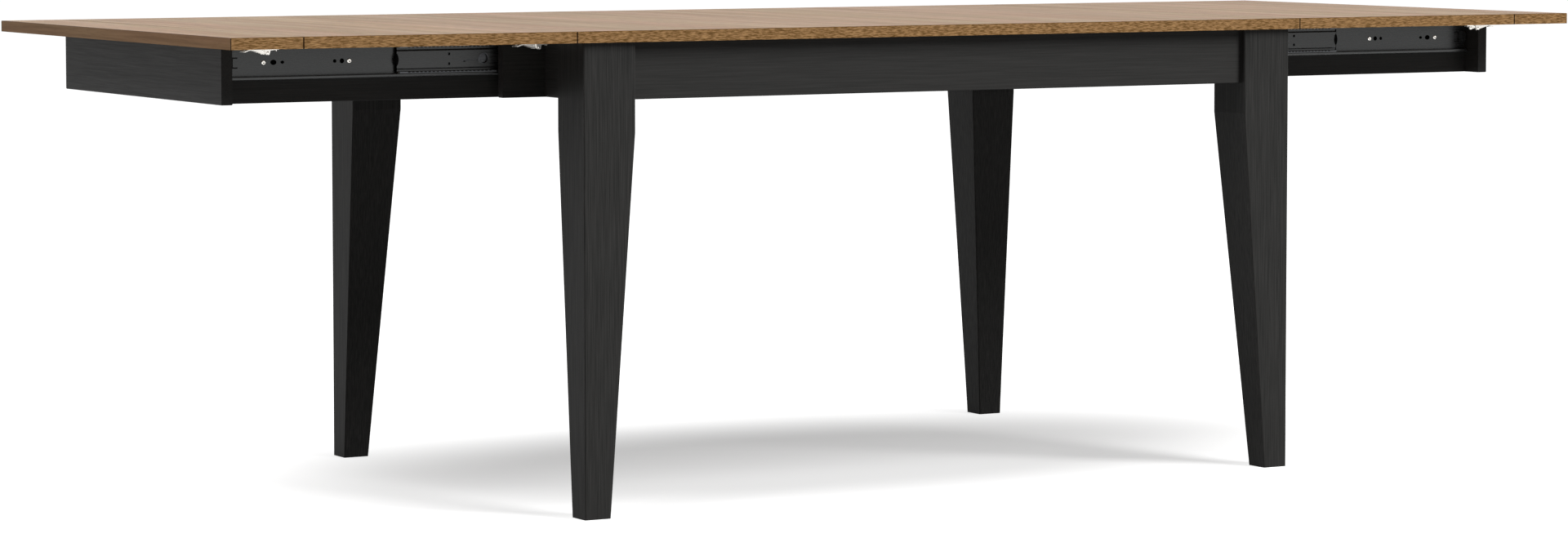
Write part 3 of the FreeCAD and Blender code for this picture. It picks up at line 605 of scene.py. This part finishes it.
class FinishSlides(bpy.types.Operator):
    """Plate the slides; add cages, balls, screws, latch rims, grease that also gives painted shade, and
    painted-shade discs and strips
    """
    bl_idname = "dining_table.finish_slides"
    bl_label = "Finish the slides"

    def execute(self, context):
        settings = context.scene.table_slides
        steel = plated_steel("zinc_plated_rolled_steel", settings.steel, 0.6, 0.27, 1.5 * MM)
        strip = plated_steel("zinc_plated_steel_strip", settings.strip, 0.6, 0.3, 1.5 * MM)
        polished = plated_steel("polished_ball_steel", settings.ball, 1.0, 0.18, 1.0 * MM)
        bright = plated_steel("nickel_plated_screw_steel", settings.bright, 1.0, 0.3, 1.0 * MM)
        # the grease beads are also painted shade in the cage notches; the near-black material is painted
        # shade for holes and end gaps
        rubber, grease, black = moulded_rubber(), grease_and_shade(), painted_shade_material()
        cage = cage_strip(settings)
        for side, sign in SIDES.items():
            names = [f"slide_outer_{side}", f"slide_middle_{side}", f"slide_inner_{side}"]
            finish_nodes(names + [f"ball_cages_inner_{side}"], steel)
            finish_nodes([f"slide_bumpers_{side}"], rubber)
            cages = bmesh.new()
            for row, turn in ROWS.items():
                at_row = Matrix.Diagonal((sign, turn, 1, 1))
                join(cages, cage, at_row)
                self.add_balls(settings, polished, row, side, at_row)
                self.add_grease_and_shade(settings, grease, row, side, at_row)
                self.add_screws(settings, bright, row, side)
                self.add_hole_shade(settings, black, row, side)
                self.add_end_shade(settings, black, row, side)
                self.add_rim(settings, strip, row, side)
            body = f"{side}_outer_ball_cages"
            piece = new_piece(f"outer_cages_{side}", cages, body, strip, False)
            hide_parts(f"ball_cages_outer_{side}")
        cage.free()
        return {"FINISHED"}

    def add_balls(self, settings, polished, row, side, at_row):
        """A ball behind each window of the outer cage, above and below."""
        balls = bmesh.new()
        for x in window_places(settings):
            for v in (-settings.row_height, settings.row_height):
                place = at_row @ Vector((x, rail_face + settings.row_depth, slide_z + v))
                bmesh.ops.create_uvsphere(
                    balls,
                    u_segments=10,
                    v_segments=6,
                    radius=settings.ball_diameter / 2,
                    matrix=Matrix.Translation(place),
                )
        new_piece(f"balls_{row}_{side}", balls, f"{side}_outer_ball_cages", polished)

    def add_grease_and_shade(self, settings, grease, row, side, at_row):
        """A bead of grease behind each notched edge of the cage, which also stands as painted shade seen
        through the notches.
        """
        beads = bmesh.new()
        face, bead = cage_high.y - settings.cage_gauge, GREASE_BEAD
        skin = (cage_high.z - cage_low.z) / 2
        low, high = skin - settings.cage_fold - settings.cage_edge, skin - settings.cage_gauge
        length = cage_high.x - cage_low.x - settings.cage_blank
        for sign in (-1, 1):
            centre = Vector((cage_low.x + length / 2, face - bead / 2, slide_z + sign * (low + high) / 2))
            size = Matrix.Diagonal((length, bead, high - low, 1))
            made = bmesh.ops.create_cube(beads, size=1, matrix=at_row @ Matrix.Translation(centre) @ size)
            edges = {edge for vertex in made["verts"] for edge in vertex.link_edges}
            ease(beads, list(edges), bead / 4)
        new_piece(f"slide_grease_{row}_{side}", beads, f"{side}_outer_ball_cages", grease)

    def add_screws(self, settings, bright, row, side):
        """The two screws that hold the outer member, one beside each pair of holes."""
        heads = bmesh.new()
        profile = pan_head(settings.screw_head / 2, SCREW_HEIGHT)
        for from_end in (settings.first_screw, settings.second_screw):
            place = Vector((outer_high.x - from_end, rail_face + OUTER_WEB, slide_z))
            turned(heads, profile, at_corner(place, SIDES[side], ROWS[row]), (0, ROWS[row], 0), SCREW_STEPS)
        new_piece(f"slide_screws_{row}_{side}", heads, f"{side}_end", bright)

    def add_hole_shade(self, settings, black, row, side):
        """Painted shade: dark discs at the outer member's holes, some of them oval, just proud of the front
        of its web.
        """
        shade_discs = bmesh.new()
        for from_end, half_width, half_height in HOLE_SHADES:
            point = Vector((outer_high.x - from_end, rail_face + OUTER_WEB, slide_z))
            place = Matrix.Translation(at_corner(point, SIDES[side], ROWS[row]))
            size = Matrix.Diagonal((half_width, half_height, SHADE_DISC_DEPTH, 1))
            bmesh.ops.create_cone(
                shade_discs,
                cap_ends=True,
                segments=SHADE_DISC_STEPS,
                radius1=1.0,
                radius2=1.0,
                depth=1.0,
                matrix=place @ Matrix.Rotation(math.radians(90), 4, "X") @ size,
            )
        new_piece(f"hole_shade_discs_{row}_{side}", shade_discs, f"{side}_end", black, smooth=False)

    def add_end_shade(self, settings, black, row, side):
        """Painted shade: a black strip across the outboard end of the middle member, where its end gap is in
        shade.
        """
        end_shade = bmesh.new()
        low, high = rail_face + END_SHADE_BACK, rail_face + settings.web_depth
        place = Vector((middle_high.x + END_SHADE_THICKNESS / 2, (low + high) / 2, slide_z))
        size = Matrix.Diagonal((END_SHADE_THICKNESS, high - low, END_SHADE_HEIGHT, 1))
        place = at_corner(place, SIDES[side], ROWS[row])
        bmesh.ops.create_cube(end_shade, size=1, matrix=Matrix.Translation(place) @ size)
        ease(end_shade, end_shade.edges[:], END_SHADE_EASE)
        new_piece(f"middle_end_shade_{row}_{side}", end_shade, f"{side}_slide_middles", black)

    def add_rim(self, settings, strip, row, side):
        """The pressed rim round the latch hole of the middle member."""
        rim = bmesh.new()
        web_front = rail_face + settings.web_depth
        place = Vector((middle_high.x - settings.latch_hole, web_front, slide_z))
        profile = [(settings.latch_radius + beyond, height) for beyond, height in RIM]
        turned(rim, profile, at_corner(place, SIDES[side], ROWS[row]), (0, ROWS[row], 0), RIM_STEPS)
        new_piece(f"latch_rim_{row}_{side}", rim, f"{side}_slide_middles", strip)


class FinishLatches(bpy.types.Operator):
    """Plate the latches, and add their rivets, the ends of their wires and the screws of their plates"""
    bl_idname = "dining_table.finish_latches"
    bl_label = "Finish the latches"

    def execute(self, context):
        settings = context.scene.table_hardware
        bright = context.scene.table_slides.bright
        nickel = plated_steel("nickel_plated_pressed_steel", bright, 1.0, 0.34, 1.2 * MM)
        names = ["keepers_main_top"]
        for side in SIDES:
            names.append(f"keepers_leaf_{side}")
            for place in ("leaf", "end"):
                names.append(f"latch_bases_{place}_{side}")
                for row in ROWS:
                    names += [f"latch_lever_{place}_{row}_{side}", f"latch_bail_{place}_{row}_{side}"]
        finish_nodes(names, nickel)
        latch_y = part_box("latch_bases_leaf_right")[1].y - settings.base_width / 2
        leaf_low, leaf_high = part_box("leaf_right")
        seams = {  # the panel that carries the latch: where its seam is, and the body that holds the keeper
            "leaf": ((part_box("main_top")[1].x + leaf_low.x) / 2, dict.fromkeys(SIDES, "frame")),
            "end": (
                (leaf_high.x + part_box("end_panel_right")[0].x) / 2,
                {side: f"{side}_leaf" for side in SIDES},
            ),
        }
        for panel, (seam, keeper_bodies) in seams.items():
            for side in SIDES:
                for row in ROWS:
                    label = f"{panel}_{row}_{side}"
                    latch = (seam, latch_y, side, row)
                    base_body, keeper_body = f"{side}_{panel}", keeper_bodies[side]
                    self.add_rivets(label, latch, base_body, nickel, settings.steps)
                    self.add_screws(label, latch, base_body, keeper_body, nickel, settings.steps)
        return {"FINISHED"}

    def spin_pair(self, shape, profile, latch, place, facing, steps):
        """Turn a profile on both sides of a latch. It faces outwards from the latch's middle, or down."""
        seam, latch_y, side, row = latch
        outboard, sideways, down = place
        for across in (-1, 1):
            point = Vector((seam + outboard, latch_y + across * sideways, panel_under - down))
            direction = (0, across * ROWS[row], 0) if facing == "OUT" else (0, 0, -1)
            turned(shape, profile, at_corner(point, SIDES[side], ROWS[row]), direction, steps)

    def add_rivets(self, label, latch, base_body, nickel, steps):
        """A rivet through each ear of the base, and the turned-out ends of the wire in the lever."""
        rivets, wire_ends = bmesh.new(), bmesh.new()
        self.spin_pair(rivets, RIVET, latch, RIVET_PLACE, "OUT", steps)
        self.spin_pair(wire_ends, WIRE_END, latch, WIRE_PLACE, "OUT", steps)
        new_piece(f"latch_rivets_{label}", rivets, base_body, nickel)
        new_piece(f"wire_ends_{label}", wire_ends, f"lever_{label}", nickel)

    def add_screws(self, label, latch, base_body, keeper_body, nickel, steps):
        """Four screws in the base's plate, and two in the keeper."""
        heads, keeper_heads = bmesh.new(), bmesh.new()
        profile = pan_head(PLATE_SCREW_RADIUS, PLATE_SCREW_HEIGHT)
        for place in PLATE_SCREW_PLACES:
            self.spin_pair(heads, profile, latch, place, "DOWN", steps)
        self.spin_pair(keeper_heads, profile, latch, KEEPER_SCREW_PLACE, "DOWN", steps)
        new_piece(f"latch_screws_{label}", heads, base_body, nickel)
        new_piece(f"keeper_screws_{label}", keeper_heads, keeper_body, nickel)


class AddLegBolts(bpy.types.Operator):
    """Bolt each leg to its corner block, with a washer and a nut"""
    bl_idname = "dining_table.add_leg_bolts"
    bl_label = "Add the leg bolts"

    def execute(self, context):
        settings = context.scene.table_hardware
        plated = plated_steel("zinc_plated_bolt_steel", settings.bolt_steel, 1.0, 0.4, 1.0 * MM)
        leg_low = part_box("leg_back_right")[0]
        height = (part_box("corner_blocks")[0].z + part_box("corner_blocks")[1].z) / 2
        radius, flats = settings.bolt_diameter / 2, settings.nut_width / 2
        corner = flats / math.cos(math.radians(30))
        rod = [(0, 0), (radius, BOLT_EASE), (radius, BOLT_LENGTH), (0, BOLT_LENGTH)]
        washer = [
            (radius, 0),
            (WASHER_RADIUS, 0),
            (WASHER_RADIUS, WASHER_THICKNESS),
            (radius, WASHER_THICKNESS),
        ]
        nut = [(radius, 0), (corner, 0), (corner, NUT_HEIGHT), (radius, NUT_HEIGHT)]
        outward = Vector((1, 1, 0)).normalized()
        block_inside = Vector((leg_low.x, leg_low.y, height)) - outward * BLOCK_INSIDE
        parts = (
            (rod, block_inside - outward * BOLT_STANDS_OUT, settings.steps),
            (washer, block_inside - outward * WASHER_THICKNESS, settings.steps),
            (nut, block_inside - outward * (WASHER_THICKNESS + NUT_HEIGHT), 6),
        )
        for side, sign in SIDES.items():
            for row, turn in ROWS.items():
                bolt = bmesh.new()
                direction = at_corner(outward, sign, turn)
                for profile, place, steps in parts:
                    turned(bolt, profile, at_corner(place, sign, turn), direction, steps)
                new_piece(f"leg_bolt_{row}_{side}", bolt, "frame", plated, smooth=False)
        return {"FINISHED"}


class LightStage(bpy.types.Operator):
    """Set out the pale floor, the soft lamps and the camera"""
    bl_idname = "dining_table.light_stage"
    bl_label = "Set out the studio"

    def execute(self, context):
        settings = context.scene.table_studio
        self.lay_floor(settings.bounce)
        self.fill_sky(settings.sky)
        for name, (place, width, depth, power) in LAMPS.items():
            self.hang_lamp(name, place, width, depth, power)
        self.place_camera(context.scene, settings)
        context.scene.view_settings.view_transform = "Standard"
        return {"FINISHED"}

    def place_camera(self, scene, settings):
        camera = bpy.data.objects.new("camera", bpy.data.cameras.new("camera"))
        scene.collection.objects.link(camera)
        camera.location = settings.place
        camera.rotation_euler = Euler((math.radians(90) + settings.pitch, 0, -settings.heading))
        camera.data.lens = settings.lens
        camera.data.sensor_width = SENSOR_WIDTH
        camera.data.shift_x = settings.shift_x
        camera.data.shift_y = settings.shift_y
        camera.data.clip_end = VIEW_END
        scene.camera = camera

    def lay_floor(self, bounce):
        """A white sweep that glows when seen, with painted shade in an oval where the table's shadow shows.
        """
        shape = bmesh.new()
        bmesh.ops.create_grid(shape, x_segments=4, y_segments=4, size=FLOOR_HALF_WIDTH)
        mesh = bpy.data.meshes.new("floor")
        shape.to_mesh(mesh)
        shape.free()
        floor = bpy.data.objects.new("floor", mesh)
        bpy.context.scene.collection.objects.link(floor)
        made, tree, shader = material("white_sweep")
        shader.inputs["Roughness"].default_value = 0.9
        shader.inputs["Specular IOR Level"].default_value = 0.0
        shader.inputs["Emission Color"].default_value = grey(1.0)
        seen = self.seen_directly(tree)
        colour_seen = ramp(tree, seen, [(0.0, grey(bounce)), (1.0, grey(FLOOR_SEEN))])
        tree.links.new(colour_seen, shader.inputs["Base Color"])
        # painted shade: the glow drops towards a soft oval under the table, on top of the real shadow
        place = add(tree, "ShaderNodeTexCoord").outputs["Object"]
        shade_patch = add(tree, "ShaderNodeMapping", {"Vector": place, "Scale": SHADE_PATCH_SCALE}).outputs["Vector"]
        away = add(tree, "ShaderNodeVectorMath", {0: shade_patch}, operation="LENGTH").outputs["Value"]
        fade = {
            "Value": away,
            "From Min": SHADE_PATCH_INNER,
            "From Max": SHADE_PATCH_OUTER,
            "To Min": SHADE_PATCH_GLOW,
            "To Max": 1.0,
        }
        level = add(tree, "ShaderNodeMapRange", fade, interpolation_type="SMOOTHSTEP")
        glow = add(tree, "ShaderNodeMath", {0: seen, 1: level.outputs["Result"]}, operation="MULTIPLY")
        tree.links.new(glow.outputs["Value"], shader.inputs["Emission Strength"])
        made.cycles.emission_sampling = "NONE"
        mesh.materials.append(made)

    def seen_directly(self, tree):
        """1 where the camera or a gloss looks, and 0 for all other light."""
        rays = add(tree, "ShaderNodeLightPath").outputs
        either = {0: rays["Is Camera Ray"], 1: rays["Is Glossy Ray"]}
        return add(tree, "ShaderNodeMath", either, operation="MAXIMUM").outputs["Value"]

    def fill_sky(self, strength):
        """Plain light from all round, seen as a white background."""
        world = bpy.data.worlds.new("studio")
        bpy.context.scene.world = world
        world.use_nodes = True
        world.cycles.sampling_method = "NONE"
        tree = world.node_tree
        seen = {"Value": self.seen_directly(tree), "To Min": strength, "To Max": 1.0}
        level = add(tree, "ShaderNodeMapRange", seen)
        background = tree.nodes["Background"]
        background.inputs["Color"].default_value = grey(1.0)
        tree.links.new(level.outputs["Result"], background.inputs["Strength"])

    def hang_lamp(self, name, place, width, depth, power):
        """A soft lamp, aimed at the table."""
        lamp = bpy.data.lights.new(name, "AREA")
        lamp.shape = "RECTANGLE"
        lamp.size, lamp.size_y = width, depth
        lamp.energy = power
        hung = bpy.data.objects.new(name, lamp)
        hung.location = place
        hung.rotation_euler = (LAMP_TARGET - hung.location).to_track_quat("-Z", "Y").to_euler()
        bpy.context.scene.collection.objects.link(hung)


class DiningTablePanel(bpy.types.Panel):
    """Buttons for each part of the table's finish"""
    bl_idname = "VIEW3D_PT_dining_table"
    bl_label = "Dining Table"
    bl_space_type = "VIEW_3D"
    bl_region_type = "UI"
    bl_category = "Dining Table"

    def draw(self, context):
        for operator in OPERATORS:
            self.layout.operator(operator.bl_idname)


SETTINGS = {
    "table_oak": OakSettings,
    "table_stain": StainSettings,
    "table_slides": SlideSettings,
    "table_hardware": HardwareSettings,
    "table_studio": StudioSettings,
}
OPERATORS = (FinishPanels, FinishBase, FinishSlides, FinishLatches, AddLegBolts, LightStage)


def register():
    for name, group in SETTINGS.items():
        bpy.utils.register_class(group)
        setattr(bpy.types.Scene, name, PointerProperty(type=group))
    for operator in OPERATORS:
        bpy.utils.register_class(operator)
    bpy.utils.register_class(DiningTablePanel)


def unregister():
    bpy.utils.unregister_class(DiningTablePanel)
    for operator in reversed(OPERATORS):
        bpy.utils.unregister_class(operator)
    for name, group in SETTINGS.items():
        delattr(bpy.types.Scene, name)
        bpy.utils.unregister_class(group)


def main():
    register()
    bpy.ops.dining_table.finish_panels()
    bpy.ops.dining_table.finish_base()
    bpy.ops.dining_table.finish_slides()
    bpy.ops.dining_table.finish_latches()
    bpy.ops.dining_table.add_leg_bolts()
    bpy.ops.dining_table.light_stage()


if __name__ == "__main__":
    main()
